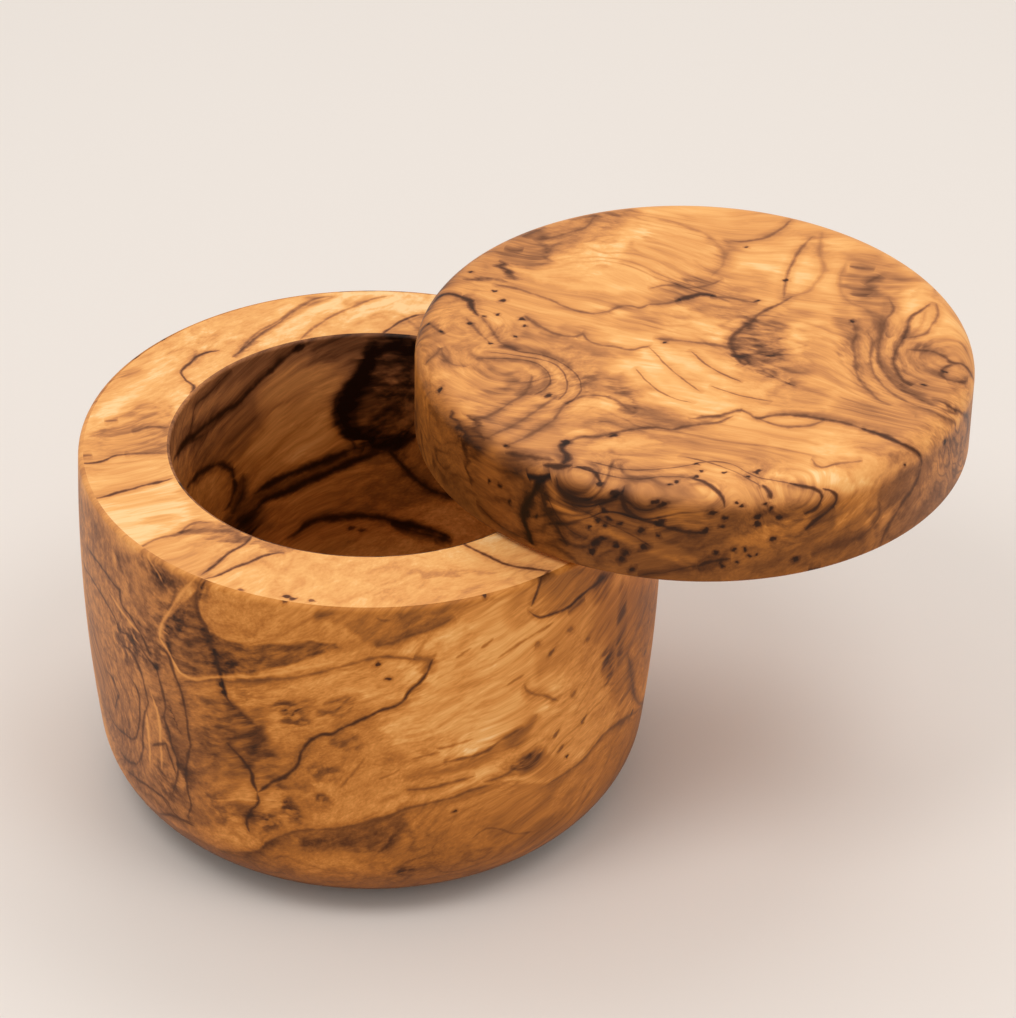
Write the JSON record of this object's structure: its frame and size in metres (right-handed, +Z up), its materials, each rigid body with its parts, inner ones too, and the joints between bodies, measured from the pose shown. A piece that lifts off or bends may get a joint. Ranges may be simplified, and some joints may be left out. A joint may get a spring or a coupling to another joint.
{
  "type": "salt box with swivel lid",
  "caption": "Turned wooden salt keeper: thick-walled round pot with a thick disc lid that swivels aside on a hidden peg and lifts off.",
  "frame": {"origin": "centre of the flat foot, on the surface the pot stands on", "axes": "+Z up along the pot's axis; +X to the side the lid is swung open to, -Y to the front, where the mouth is seen"},
  "size_m": [0.1565, 0.104, 0.0873],
  "materials": {
    "pot_wood": "oiled satin olive wood",
    "lid_wood": "oiled satin olive wood, livelier figure",
    "pin_steel": "bright drawn",
    "bush_brass": "turned",
    "washer_nylon": "natural nylon"
  },
  "bodies": {
    "pot_body": {"pot": "pot_wood", "pivot_pin": "pin_steel"},
    "washer_body": {"pivot_washer": "washer_nylon"},
    "lid_body": {"lid": "lid_wood", "pivot_bush": "bush_brass"}
  },
  "joints": [
    {"name": "lid_swing", "type": "hinge", "parent": "pot_body", "child": "washer_body", "pos_m": [0.02606, 0.03294, 0.0694], "axis": [0, 0, 1], "range_deg": [-84.6, 95.4]},
    {"name": "lid_lift", "type": "slide", "parent": "washer_body", "child": "lid_body", "axis": [0, 0, 1], "range_m": [0, 0.016]}
  ]
}
